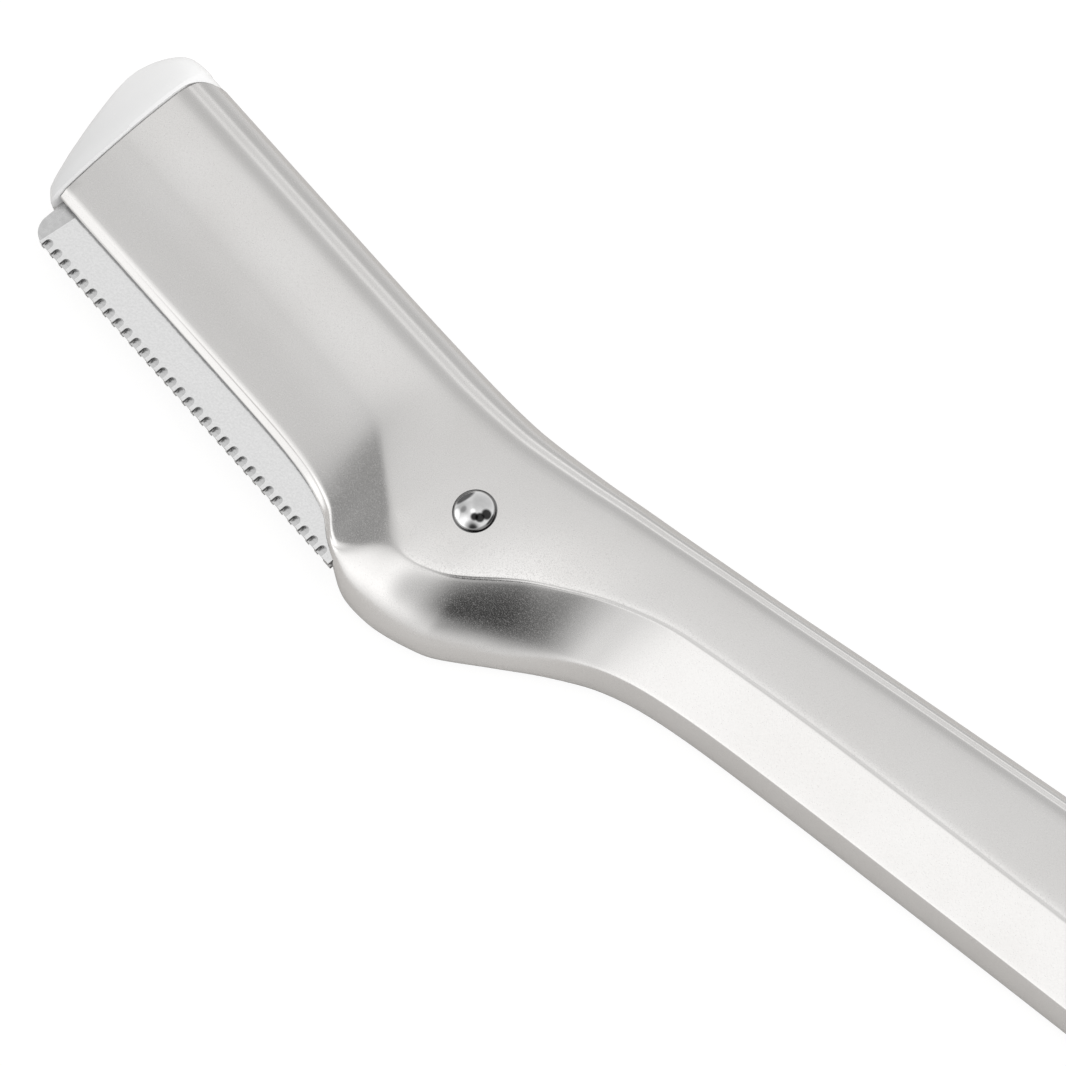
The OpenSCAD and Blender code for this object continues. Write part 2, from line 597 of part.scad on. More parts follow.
// Flat tongue that runs in the slot: full height along the spine wall, stepped under the blade
guard_y1 = -edge_y - tooth_over + guard_w;
blade_y1 = -edge_y + blade_w;
tongue_x0 = -head_l - 2 * slide_gap;
tongue_x1 = -slot_end - slide_gap;
tongue_z = cover_t + slide_gap;
tail_r = 2;
module carrier_tongue() {
    tongue_l = tongue_x1 - tongue_x0;
    spine_y0 = blade_y1 + fit_gap;
    spine_y1 = half_w - spine_wall - slide_gap;
    step_y0 = guard_y1 + fit_gap;
    leaf_y0 = -half_w + lip_bevel;
    // Spine part, with a round tail corner
    translate([0, 0, tongue_z]) linear_extrude(guard_top - tongue_z) {
        translate([tongue_x0, spine_y0]) square([tongue_l - tail_r, spine_y1 - spine_y0]);
        translate([tongue_x1 - tail_r - fit_gap, spine_y0])
            square([tail_r + fit_gap, spine_y1 - spine_y0 - tail_r]);
        translate([tongue_x1 - tail_r, spine_y1 - tail_r]) circle(r = tail_r);
    }
    // Step under the bare blade
    translate([tongue_x0, step_y0, tongue_z])
        cube([tongue_l, spine_y0 - step_y0 + fit_gap, blade_bottom - tongue_z]);
    // Leaf under the rear guard
    translate([tongue_x0, leaf_y0, tongue_z])
        cube([tongue_l, step_y0 - leaf_y0 + fit_gap, rear_bottom - tongue_z]);
}

// Horn of the cap, which fills the head's round corner at the spine with the cap's own section
module cap_horn() {
    gap = 2 * slide_gap;
    horn_ring = cap_ring(cap_side_shares[0], 0.2 * cap_rim);
    back_ring = [for (p = horn_ring) [p[0] - gap, p[1], p[2]]];
    front_ring = [for (p = horn_ring) [p[0] + corner_r, p[1], p[2]]];
    intersection() {
        skin([back_ring, front_ring]);
        linear_extrude(cap_h + overrun) intersection() {
            past_end(slide_gap);
            translate([-head_l - overrun, corner_y - gap]) square([corner_r + 2 * overrun, head_w]);
        }
    }
}

// Channel under the tongue's tail for the spring, with the groove for its dimple
channel_side = 0.25;
module tail_channel() {
    w = leaf_w + 2 * channel_side;
    roof = cover_t + leaf_rise + leaf_t + slide_gap;
    x0 = -leaf_l - channel_side;
    translate([x0, -w / 2, cover_t - overrun]) cube([-x0, w, roof - cover_t + overrun]);
    translate([-leaf_l + dimple_back, w / 2, cover_t + leaf_rise + leaf_t / 2]) rotate([90, 0, 0])
        cylinder(r = dimple_r + slide_gap, h = w);
}

handle_body();
head_back_cover();
rivet();
rivet_washer();
detent_spring();
blade_carrier();
blade();
front_guard();
rear_guard();
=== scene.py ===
import math

import bpy
from mathutils import Matrix, Vector


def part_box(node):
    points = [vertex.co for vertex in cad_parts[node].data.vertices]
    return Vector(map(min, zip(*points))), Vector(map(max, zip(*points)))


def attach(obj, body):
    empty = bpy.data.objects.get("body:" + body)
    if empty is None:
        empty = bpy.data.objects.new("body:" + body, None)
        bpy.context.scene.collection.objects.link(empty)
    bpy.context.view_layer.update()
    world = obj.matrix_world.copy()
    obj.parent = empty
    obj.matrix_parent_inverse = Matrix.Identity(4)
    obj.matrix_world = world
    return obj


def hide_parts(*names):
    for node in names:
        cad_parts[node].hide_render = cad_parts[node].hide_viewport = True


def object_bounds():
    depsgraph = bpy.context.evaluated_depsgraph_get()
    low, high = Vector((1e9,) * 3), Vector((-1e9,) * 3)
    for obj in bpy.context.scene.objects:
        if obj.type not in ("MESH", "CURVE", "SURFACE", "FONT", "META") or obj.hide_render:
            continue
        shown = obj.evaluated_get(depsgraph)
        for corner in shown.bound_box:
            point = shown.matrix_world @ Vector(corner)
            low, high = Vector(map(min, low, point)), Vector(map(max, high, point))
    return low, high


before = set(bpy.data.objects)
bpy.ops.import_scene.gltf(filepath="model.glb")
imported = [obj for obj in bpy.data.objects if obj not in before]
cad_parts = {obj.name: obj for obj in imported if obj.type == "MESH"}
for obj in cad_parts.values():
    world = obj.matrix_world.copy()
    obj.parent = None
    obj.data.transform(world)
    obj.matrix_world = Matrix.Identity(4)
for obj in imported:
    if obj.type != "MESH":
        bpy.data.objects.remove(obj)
cad_low, cad_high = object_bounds()
bpy.ops.object.select_all(action="DESELECT")

# Camera: a long lens 22 degrees off the vertical, leaning towards the handle's end, as the
# photograph has it. 16 of its pixels are one millimetre of the razor.
mm = 0.001
photo_side = 1066
photo_px_per_mm = 16
camera_far = 2.5
camera_tilt = math.radians(22)
camera_lean = math.radians(-17.89)
camera_roll = math.radians(67.3)
sensor = 36
clip_near, clip_far = 0.1, 20

camera_turn = (Matrix.Rotation(camera_lean, 3, "Z") @ Matrix.Rotation(camera_tilt, 3, "Y")
               @ Matrix.Rotation(camera_roll, 3, "Z"))
picture_right, picture_up, towards_camera = (Vector(column) for column in camera_turn.transposed())
# Where the rivet's foot lies in the picture, in pixels right of and below its middle
foot_right, foot_down = -45.8, 7.7
aim = (-foot_right * picture_right + foot_down * picture_up) * mm / photo_px_per_mm

bpy.ops.object.camera_add(location=aim + towards_camera * camera_far,
                          rotation=camera_turn.to_euler())
camera = bpy.context.object
camera.data.sensor_width = sensor
camera.data.lens = sensor * camera_far / (photo_side / photo_px_per_mm * mm)
camera.data.clip_start, camera.data.clip_end = clip_near, clip_far
bpy.context.scene.camera = camera
bpy.context.scene.view_settings.view_transform = "Standard"
bpy.ops.object.select_all(action="DESELECT")


# Studio: a wide pale floor under a soft white sky. The sky has dim stretches, as the openings
# between the lamps of a light tent are, which metal shows as its darker tones.
class Wire:
    """A socket of a node tree. Sums and products on it add Math nodes."""

    def __init__(self, tree, socket=None):
        self.tree = tree
        self.socket = socket

    def add(self, kind, settings=None, values=None, out=0):
        """Adds a node: its settings first, then the values or links of its sockets."""
        node = self.tree.nodes.new("ShaderNode" + kind)
        for name, value in (settings or {}).items():
            setattr(node, name, value)
        for name, value in (values or {}).items():
            if isinstance(value, Wire):
                self.tree.links.new(value.socket, node.inputs[name])
            else:
                node.inputs[name].default_value = value
        return Wire(self.tree, node.outputs[out] if node.outputs else None)

    def other(self, name):
        """Another output of the node that this socket is on."""
        return Wire(self.tree, self.socket.node.outputs[name])

    def part(self, axis):
        """One of the numbers X, Y and Z of a vector."""
        return self.add("SeparateXYZ", values={0: self}, out="XYZ".index(axis))

    def place(self):
        """The place on the piece, for the node tree that this socket is in."""
        return self.add("TexCoord", out="Object")

    def facing(self):
        """The surface's own direction, for the node tree that this socket is in."""
        return self.add("TexCoord", out="Normal")

    def scaled(self, *scale):
        """A vector with each of its numbers scaled."""
        return self.add("Mapping", values={"Vector": self, "Scale": scale})

    def length(self):
        """The length of a vector."""
        return self.add("VectorMath", {"operation": "LENGTH"}, {0: self}, out="Value")

    def noise(self, scale, detail, roughness=0.5):
        """Cloudy noise over a vector."""
        return self.add("TexNoise", values={"Vector": self, "Scale": scale, "Detail": detail,
                                            "Roughness": roughness})

    def bump(self, strength, depth):
        """The surface's direction, with this socket as the height of its bumps."""
        return self.add("Bump", values={"Height": self, "Strength": strength, "Distance": depth})

    def math(self, operation, other):
        """A Math node on this socket and another one or a number."""
        return self.add("Math", {"operation": operation}, {0: self, 1: other})

    def mix(self, low, high):
        """A colour between low and high, with this socket as the factor."""
        return self.add("Mix", {"data_type": "RGBA", "clamp_factor": False},
                        {0: self, 6: low, 7: high}, out=2)

    def smooth(self, low, high):
        """0 below low, 1 above high and a smooth rise between them."""
        return self.add("MapRange", {"interpolation_type": "SMOOTHSTEP"},
                        {"Value": self, "From Min": low, "From Max": high})

    def __add__(self, other):
        return self.math("ADD", other)

    def __sub__(self, other):
        return self.math("SUBTRACT", other)

    def __rsub__(self, other):
        return (self * -1) + other

    def __mul__(self, other):
        return self.math("MULTIPLY", other)

    __radd__ = __add__
    __rmul__ = __mul__


def grey(level, warmth=0):
    """A pale colour of the given level; a positive warmth takes a little blue away."""
    return (level * (1 + warmth), level, level * (1 - warmth), 1)


world = bpy.data.worlds.new("light_tent")
bpy.context.scene.world = world
world.use_nodes = True
world.node_tree.nodes.clear()
sky = Wire(world.node_tree)
way = sky.add("TexCoord", out="Generated")


def patch(direction, inner, outer):
    """1 within inner degrees of a direction of the sky, falling to 0 at outer degrees."""
    facing = way.add("VectorMath", {"operation": "DOT_PRODUCT"},
                     {0: way, 1: Vector(direction).normalized()}, out="Value")
    return facing.smooth(math.cos(math.radians(outer)), math.cos(math.radians(inner)))


# Dim stretches and lamps of the tent: their direction, how many degrees from it they are full
# and where they end, and the share of light that they take or add
dim_stretches = [
    # On the blade's side, towards the tip, and on the spine's side
    ((0.49, -0.66, 0.57), 4, 20, 0.86), ((0.42, -0.71, 0.56), 4, 34, 0.68),
    ((-0.66, -0.32, 0.68), 0, 15, 0.46), ((-0.74, -0.36, 0.57), 0, 38, 0.34),
    ((-0.36, 0.66, 0.66), 0, 48, 0.28),
    # Overhead, and low past the handle's end and past the tip
    ((0.13, -0.2, 0.97), 8, 18, 0.95), ((0.39, 0.02, 0.92), 12, 21, 0.95),
    ((0.45, 0.46, 0.77), 13, 23, 0.95), ((0.88, 0.45, 0.1), 18, 30, 0.85),
    ((-0.97, 0.15, 0.04), 18, 28, 0.85)]
lamps = [
    # Two low on the blade's side, one overhead and one low towards the tip
    ((-0.2, -0.83, 0.52), 8, 38, 0.4), ((0.04, -0.93, 0.36), 4, 22, 0.16),
    ((-0.2, -0.03, 0.98), 2, 12, 0.45), ((-0.72, -0.62, 0.3), 8, 18, 0.9)]
plain_level = 0.81
level = sum((share * patch(*spot) for *spot, share in lamps), plain_level)
for *spot, share in dim_stretches:
    level = level * (1 - share * patch(*spot))
# Metal sees the tent with its dim stretches, the camera plain white, and matt faces its mean
tent = level.mix(grey(0), grey(1))
ray = sky.add("LightPath")
seen = sky.add("Background", values={"Color": ray.mix(tent, grey(1)), "Strength": 1.0})
day = patch((0.5, 0.7, 0.5), 10, 125).mix(grey(0.6), grey(1.2))
mean = sky.add("Background", values={"Color": day, "Strength": 1.0})
shiny = ray.other("Is Glossy Ray") + ray.other("Is Transmission Ray")
sky_mix = sky.add("MixShader", values={0: ray + shiny, 1: mean, 2: seen})
sky.add("OutputWorld", values={"Surface": sky_mix})

# The floor lies just below the razor's back, so that the two don't share a plane
floor_side, floor_drop = 3, 0.05 * mm
bpy.ops.mesh.primitive_plane_add(size=floor_side, location=(0, 0, cad_low.z - floor_drop))
floor = bpy.context.object
floor.name = "floor"


def new_material(name):
    """An empty material, and a wire into its node tree."""
    material = bpy.data.materials.new(name)
    material.use_nodes = True
    material.node_tree.nodes.clear()
    return material, Wire(material.node_tree)


# Seen by the camera, the paper is white but for a part of the razor's own shadow
paper_white, shadow_hidden = 1.18, 0.75
paper, sheet = new_material("white_paper")
sheet_matt = sheet.add("BsdfDiffuse", values={"Color": grey(0.66, 0.02)})
sheet_white = sheet.add("Emission", values={"Color": grey(1), "Strength": paper_white})
sheet_ray = sheet.add("LightPath")
sheet_mix = sheet.add("MixShader", values={0: sheet_ray * shadow_hidden, 1: sheet_matt,
                                           2: sheet_white})
sheet.add("OutputMaterial", values={"Surface": sheet_mix})
floor.data.materials.append(paper)
bpy.ops.object.select_all(action="DESELECT")


# Handle body: one zinc die casting, plated with satin nickel, with the head's walls, the heel,
# the boss round the rivet and the S-curved handle. It is lofted over sections across X and
# rounded by subdivision. Then the slot, the cover's recess and the rivet's seat are cut out.
body_low, body_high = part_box("handle_body")
_, cover_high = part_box("head_back_cover")
# Sizes in millimetres, with head_l from the rivet to the tip end and handle_l to the other end
head_l = -body_low.x / mm
handle_l = body_high.x / mm
heel_d = -body_low.y / mm
half_w = 6.05
body_t = 5.4
handle_w = 12.6
handle_rise = 20.5
bevel_w = 5.05
lip_h, lip_bevel, lip_bevel_w = 4, 0.5, 0.62
foot_h, side_flare, back_chamfer = 3.2, 0.85, 0.5
low_side_h = 1
# The bead along the spine, at the head and at the handle's end, and the valley beside it
bead_w, bead_end_w, valley_d, shoulder_h = 1.85, 1, 0.13, 0.95


def span_at(table, x):
    """The last row of a table that starts at or before x, but never its last row."""
    return max([0] + [i for i in range(len(table) - 1) if x >= table[i][0]])


def line_at(table, x):
    """Straight steps through the points (x, value) of a table."""
    i = span_at(table, x)
    share = (x - table[i][0]) / (table[i + 1][0] - table[i][0])
    return table[i][1] + min(1, max(0, share)) * (table[i + 1][1] - table[i][1])


def curve_at(table, x):
    """A smooth curve through the points (x, value) of a table."""
    def rise(i):
        a, b = table[max(0, i - 1)], table[min(len(table) - 1, i + 1)]
        return (b[1] - a[1]) / (b[0] - a[0])

    i = span_at(table, x)
    w = table[i + 1][0] - table[i][0]
    u = (x - table[i][0]) / w
    return ((2 * u**3 - 3 * u**2 + 1) * table[i][1] + (3 * u**2 - 2 * u**3) * table[i + 1][1]
            + w * ((u**3 - 2 * u**2 + u) * rise(i) + (u**3 - u**2) * rise(i + 1)))


# The handle's middle line and width: shares of its reach, of its rise and of its width
handle_shares = [(0.041, -0.004, 1.218), (0.072, 0.070, 1.085), (0.103, 0.143, 0.952),
                 (0.139, 0.214, 0.847), (0.184, 0.271, 0.819), (0.258, 0.348, 0.843),
                 (0.361, 0.447, 0.887), (0.485, 0.564, 0.940), (0.619, 0.685, 0.988),
                 (0.773, 0.815, 1), (0.907, 0.925, 0.965), (1, 1, 0.94)]
# Outlines of the head: shares of its length, and of half its width or of the heel's depth
spine_shares = [(-1, 1.018), (-0.42, 1.022), (-0.27, 1.032), (-0.187, 1.042), (-0.105, 1.062),
                (-0.028, 1.104)]
lip_shares = [(-1, 1), (-0.42, 1.003), (-0.332, 1.02), (-0.266, 1.063), (-0.2, 1.17)]
heel_shares = [(-0.167, 0.838), (-0.136, 0.9), (-0.11, 0.953), (-0.085, 0.99), (-0.05, 1),
               (-0.009, 0.988), (0.03, 0.952), (0.075, 0.893)]
spine_line = ([(s * head_l, w * half_w) for s, w in spine_shares]
              + [(s * handle_l, r * handle_rise + w * handle_w / 2) for s, r, w in handle_shares])
low_line = ([(s * head_l, -w * half_w) for s, w in lip_shares]
            + [(s * head_l, -d * heel_d) for s, d in heel_shares]
            + [(s * handle_l, r * handle_rise - w * handle_w / 2) for s, r, w in handle_shares])

# The crease that bounds the flat face: shares of half the head's width before the rivet, and
# of the bevel's width up from the lower outline past it
crease_shares = [(-1, 0.14), (-0.36, 0.14), (-0.255, 0.15), (-0.19, 0.35), (-0.12, 0.59),
                 (-0.06, 0.78), (-0.02, 0.84)]
crease_up_shares = [(0.009, 0.9), (0.022, 0.96), (0.036, 1.1), (0.047, 1.18), (0.061, 1.21),
                    (0.077, 1.18), (0.1, 1.12), (0.124, 1.04), (0.153, 1), (0.3, 1), (0.8, 1),
                    (0.93, 0.9), (1, 0.8)]
crease_line = ([(s * head_l, -w * half_w) for s, w in crease_shares]
               + [(s * handle_l, curve_at(low_line, s * handle_l) + u * bevel_w)
                  for s, u in crease_up_shares])

# Lines along the body between its lower outline and the crease: share of the head's length
# along, share of the way to the crease, and height as a share of the thickness. The wall line
# is the top of the lower side. The ridge bounds the strip along the slot, then runs up across
# the heel to the boss. Right of it the bevel falls, and left of it lies the heel's facet.
wall_share_z = (lip_h - lip_bevel) / body_t
lip_share_z = lip_h / body_t
lip_share_y = lip_bevel_w / (half_w * (1 - crease_shares[0][1]))
foot_share_z = foot_h / body_t
foot_share_y = side_flare / bevel_w
wall_shares = [(-1, 0, wall_share_z), (-0.3, 0, wall_share_z), (-0.19, 0.008, 0.64),
               (-0.13, 0.022, 0.605), (-0.085, 0.045, 0.55), (-0.03, 0.085, 0.525),
               (0.03, 0.13, 0.53), (0.09, 0.195, 0.55), (0.15, 0.225, 0.54),
               (0.21, 0.232, 0.505), (0.29, 0.205, 0.5), (0.35, 0.183, 0.53),
               (0.45, foot_share_y, 0.565), (0.6, foot_share_y, foot_share_z)]
ridge_shares = [(-1, lip_share_y, lip_share_z), (-0.3, lip_share_y, lip_share_z),
                (-0.2, 0.125, 0.745), (-0.16, 0.115, 0.742), (-0.135, 0.15, 0.748),
                (-0.11, 0.35, 0.806), (-0.085, 0.62, 0.888), (-0.06, 0.86, 0.948),
                (-0.035, 0.93, 0.958), (0, 0.94, 0.95), (0.2, 0.94, 0.95), (0.4, 0.94, 0.97)]
crease_z_shares = [(-1, 0.926), (-0.36, 0.926), (-0.28, 0.935), (-0.22, 0.955), (-0.16, 0.972),
                   (-0.1, 0.976), (-0.04, 0.968), (0.03, 0.96), (0.2, 0.96), (0.4, 0.985)]
# Crowns in millimetres, of the head's face and of the heel's bulge, and the rounding of the
# bevel's foot
hump_shares = [(-1, 0.07), (-0.34, 0.07), (-0.22, 0.03), (-0.14, 0)]
bulge_shares = [(-1, 0), (-0.17, 0), (-0.1, 0.24), (-0.05, 0.33), (0, 0.31), (0.04, 0.24),
                (0.09, 0.18), (0.14, 0.11), (0.2, 0.04), (0.26, 0)]
foot_round_shares = [(-1, 0.1), (-0.18, 0.12), (-0.12, 0.5), (-0.06, 1), (0.01, 1.2),
                     (0.07, 1.3), (0.14, 1.3), (0.22, 1), (0.3, 0.5), (0.4, 0.18), (0.55, 0.14)]
bead_shares = [(-1, 0), (-0.2, 0.08), (0.15, 0.75), (0.45, 1)]


def run_of(table, column):
    """One column of a table of shares, over the whole length of the body."""
    rows = [(row[0] * head_l, row[column]) for row in table]
    return rows + [(handle_l, table[-1][column])]


wall_y_run, wall_z_run = run_of(wall_shares, 1), run_of(wall_shares, 2)
ridge_y_run, ridge_z_run = run_of(ridge_shares, 1), run_of(ridge_shares, 2)
crease_z_run, hump_run = run_of(crease_z_shares, 1), run_of(hump_shares, 1)
bulge_run, bead_run = run_of(bulge_shares, 1), run_of(bead_shares, 1)
foot_round_run = run_of(foot_round_shares, 1)
# How far the crease and the ridge are rounded
crease_round, ridge_round = 0.2, 0.3


def section(x):
    """Points (y, z) of the body's section at x: up the lower side, over the face and the bead,
    and down the spine, in millimetres."""
    low, spine = curve_at(low_line, x), curve_at(spine_line, x)
    crease = Vector((curve_at(crease_line, x), body_t * curve_at(crease_z_run, x)))
    reach = crease.x - low
    wall = Vector((low + reach * curve_at(wall_y_run, x), body_t * curve_at(wall_z_run, x)))
    ridge = Vector((low + reach * curve_at(ridge_y_run, x), body_t * curve_at(ridge_z_run, x)))
    side = wall - Vector((low, low_side_h))
    fall, rise = ridge - wall, crease - ridge
    out = Vector((-fall.y, fall.x)).normalized() * curve_at(bulge_run, x)
    hump = Vector((0, curve_at(hump_run, x)))
    foot = min(curve_at(foot_round_run, x), 0.3 * fall.length)
    before, after = wall - side.normalized() * foot, wall + fall.normalized() * foot
    near = min(ridge_round, 0.42 * fall.length, 0.3 * rise.length)
    close = min(crease_round, 0.3 * rise.length)

    bead = bead_w + line_at(bead_run, x) * (bead_end_w - bead_w)
    valley = spine - bead
    face_w = valley - crease.x

    def face(share):
        return (crease.x + share * face_w, body_t - (body_t - crease.y) * (1 - share) ** 2)

    # Each factor is a share of the edge, width or height that it stands with
    points = [
        (low + back_chamfer * 1.6, 0), (low + back_chamfer * 0.45, back_chamfer * 0.5),
        (low, low_side_h), Vector((low, low_side_h)) + side * 0.5,
        before, wall * 0.6 + (before + after) * 0.2, after + out * 0.4,
        wall + fall * 0.38 + out * 0.9, wall + fall * 0.68 + out * 0.9,
        ridge - fall.normalized() * near + out * 0.15, ridge, ridge + rise.normalized() * near,
        ridge + rise * 0.38 + hump, ridge + rise * 0.68 + hump,
        crease - rise.normalized() * close, face(min(0.05, close / face_w)), face(0.14),
        face(0.3), face(0.5), face(0.72),
        (valley - 0.45 * bead, body_t), (valley - 0.22 * bead, body_t - 0.15 * valley_d),
        (valley, body_t - valley_d), (valley + 0.2 * bead, body_t - 0.55 * valley_d),
        (valley + 0.4 * bead, body_t), (valley + 0.55 * bead, body_t - 0.06 * shoulder_h),
        (valley + 0.74 * bead, body_t - 0.32 * shoulder_h),
        (valley + 0.92 * bead, body_t - 0.62 * shoulder_h), (spine, body_t - shoulder_h),
        (spine, low_side_h), (spine - back_chamfer * 0.3, back_chamfer * 0.6),
        (spine - back_chamfer, 0)]
    return [Vector(p) for p in points]


# The handle's end is rounded in width and in height, down to a share of each
end_round_l, end_edge_l, mid_share = handle_w * 0.55, body_t * 0.5, 0.47
end_w_share, end_h_share = 0.12, 0.45


def rounding(x, reach):
    """1 along the handle, falling as a quarter circle over the last reach of it."""
    return math.sqrt(max(0, 1 - max(0, (x - handle_l + reach) / reach) ** 2))


def section_at(x):
    """The section at x as points in space, drawn in towards the handle's end."""
    across = max(end_w_share, rounding(x, end_round_l))
    high = end_h_share + (1 - end_h_share) * rounding(x, end_edge_l)
    middle = (curve_at(spine_line, x) + curve_at(low_line, x)) / 2
    mid_z = body_t * mid_share
    return [Vector((x, middle + (p.x - middle) * across, mid_z + (p.y - mid_z) * high)) * mm
            for p in section(x)]


# Where the sections are, closest over the heel and at the handle's end
stations = ([-1.03 * head_l] + [(-1 + 0.04 * i) * head_l for i in range(16)]
            + [(-0.36 + 0.015 * i) * head_l for i in range(48)]
            + [(0.37 + 0.05 * i) * head_l for i in range(9)]
            + [s * handle_l for s in (0.3, 0.33, 0.36, 0.4, 0.44, 0.48, 0.52, 0.56, 0.6, 0.64, 0.68,
                                      0.72, 0.76, 0.8, 0.84, 0.88, 0.915, 0.94, 0.96, 0.973, 0.983,
                                      0.991, 0.997, 1)])
# Points of a mesh that are closer than this, in metres, are one
weld = 1e-7


def loft(name, rings):
    """A closed solid over rings that have the same count of points. A sheet is bent over
    them, joined along its seam and filled at its ends."""
    count = len(rings[0])
    bpy.ops.mesh.primitive_grid_add(x_subdivisions=len(rings) - 1, y_subdivisions=count, size=2)
    piece = bpy.context.object
    piece.name = name
    for vertex in piece.data.vertices:
        along = round((vertex.co.x + 1) / 2 * (len(rings) - 1))
        around = round((vertex.co.y + 1) / 2 * count) % count
        vertex.co = rings[along][around]
    bpy.ops.object.mode_set(mode="EDIT")
    bpy.ops.mesh.select_all(action="SELECT")
    bpy.ops.mesh.remove_doubles(threshold=weld)
    bpy.ops.mesh.select_all(action="DESELECT")
    bpy.ops.mesh.select_non_manifold()
    bpy.ops.mesh.edge_face_add()
    bpy.ops.mesh.select_all(action="SELECT")
    bpy.ops.mesh.normals_make_consistent(inside=False)
    bpy.ops.object.mode_set(mode="OBJECT")
    bpy.ops.object.select_all(action="DESELECT")
    return piece


body = loft("handle_body_casting", [section_at(x) for x in stations])


def apply_modifier(piece, kind, **settings):
    """Adds a modifier to a piece and applies it."""
    bpy.ops.object.select_all(action="DESELECT")
    piece.select_set(True)
    bpy.context.view_layer.objects.active = piece
    modifier = piece.modifiers.new(kind.lower(), kind)
    for name, value in settings.items():
        setattr(modifier, name, value)
    bpy.ops.object.modifier_apply(modifier=modifier.name)
    piece.select_set(False)


apply_modifier(body, "SUBSURF", levels=1, render_levels=1)
# The boss, the facet and the bevel run softly into each other over the heel's bulge
bulge_top, bulge_core, bulge_reach = Vector((-0.6, -6.7, 4.3)) * mm, 1.8 * mm, 4.2 * mm
soft_above, soft_rounds = 1.5 * mm, 50
soft = body.vertex_groups.new(name="soft_heel")
for vertex in body.data.vertices:
    far = ((vertex.co - bulge_top).length - bulge_core) / (bulge_reach - bulge_core)
    if vertex.co.z > soft_above and far < 1:
        soft.add([vertex.index], min(1, 1 - far), "REPLACE")
apply_modifier(body, "SMOOTH", factor=0.5, iterations=soft_rounds,
               vertex_group="soft_heel")


def prism(name, plan, low, high):
    """A solid over a plan of points (x, y), all in millimetres, between two heights."""
    bpy.ops.mesh.primitive_circle_add(vertices=len(plan), fill_type="NGON")
    piece = bpy.context.object
    piece.name = name
    for vertex, (x, y) in zip(piece.data.vertices, plan):
        vertex.co = Vector((x, y, low)) * mm
    bpy.ops.object.mode_set(mode="EDIT")
    bpy.ops.mesh.extrude_region_move(
        TRANSFORM_OT_translate={"value": (0, 0, (high - low) * mm)})
    bpy.ops.mesh.select_all(action="SELECT")
    bpy.ops.mesh.normals_make_consistent(inside=False)
    bpy.ops.object.mode_set(mode="OBJECT")
    bpy.ops.object.select_all(action="DESELECT")
    return piece


def arc(x, y, radius, start, end, steps):
    """Points round a centre, from one angle to another in degrees."""
    angles = [math.radians(start + (end - start) * i / steps) for i in range(steps + 1)]
    return [(x + radius * math.cos(a), y + radius * math.sin(a)) for a in angles]


def circle(radius, steps):
    """Points of a whole circle round the rivet's axis."""
    return arc(0, 0, radius, 0, 360 - 360 / steps, steps - 1)


def carve(piece, tool, operation="DIFFERENCE"):
    """Cuts a tool out of a piece, or joins it on, and removes the tool."""
    apply_modifier(piece, "BOOLEAN", object=tool, operation=operation, solver="EXACT")
    bpy.data.objects.remove(tool)


corner_r, end_slant, slot_end, ceiling_h, spine_wall = 2.25, 0.45, 4.2, 2.9, 1.65
cover_t, rabbet, cover_inset, cover_r = cover_high.z / mm, 0.6, 0.1, 4.1
fit_gap = 0.03
corner_y = spine_shares[0][1] * half_w - corner_r
# Where the cutting solids end in the air, past the head's end, outlines, back and face
past_x, past_far_x, past_low_y, past_spine_y = -head_l - 1.3, -head_l - 6, -11, 8
past_back, past_face = -1, 7


def end_x(y):
    """The head's end in plan: it stands back a little towards the spine."""
    return -head_l + end_slant * (y + half_w) / (2 * half_w)


def past_end(gap, low=past_low_y):
    """Plan of all past the head's end, whose corner at the spine is round."""
    middle = end_x(corner_y) + corner_r
    return ([(end_x(low) - gap, low)] + arc(middle, corner_y, corner_r + gap, 180, 90, 16)
            + [(middle, past_spine_y), (past_far_x, past_spine_y), (past_far_x, low)])


# The slot's mouth is relieved under the lip, so that the lip stands clear of the front guard,
# and it stops just before the slot does
mouth_depth, mouth_low, mouth_top, mouth_slope, mouth_out = 0.75, 2, 3.36, 0.12, 2
mouth_short, mouth_steps = 0.05, 40
mouth_l = -slot_end - mouth_short - past_x
mouth_plan = [(-mouth_out, mouth_low), (mouth_depth, mouth_low),
              (mouth_depth, ceiling_h + fit_gap), (mouth_slope, mouth_top),
              (-mouth_out, mouth_top)]
mouth = [past_x + mouth_l * i / mouth_steps for i in range(mouth_steps + 1)]
carve(body, loft("mouth", [[Vector((x, curve_at(low_line, max(x, -head_l)) + dy, z)) * mm
                            for dy, z in mouth_plan] for x in mouth]))
slot_y = half_w - spine_wall
carve(body, prism("slot", [(past_x, past_low_y), (-slot_end, past_low_y), (-slot_end, slot_y),
                           (past_x, slot_y)], cover_t - fit_gap, ceiling_h))
# The recess of the back cover follows the lower outline and ends round the rivet
cover_edge = [(s * head_l, curve_at(low_line, s * head_l) + cover_inset - fit_gap)
              for s in (-0.42, -0.332, -0.3, -0.266, -0.23, -0.2, -0.175, -0.15)]
carve(body, prism("recess", [(past_x, slot_y + rabbet), (past_x, cover_edge[0][1])]
                  + cover_edge
                  + [(-slot_end, cover_edge[-1][1]), (-slot_end, -0.75 * cover_r)]
                  + arc(0, 0, cover_r + fit_gap, -90, 90, 32)
                  + [(-1.2 * slot_end, slot_y + rabbet)], past_back, cover_t))
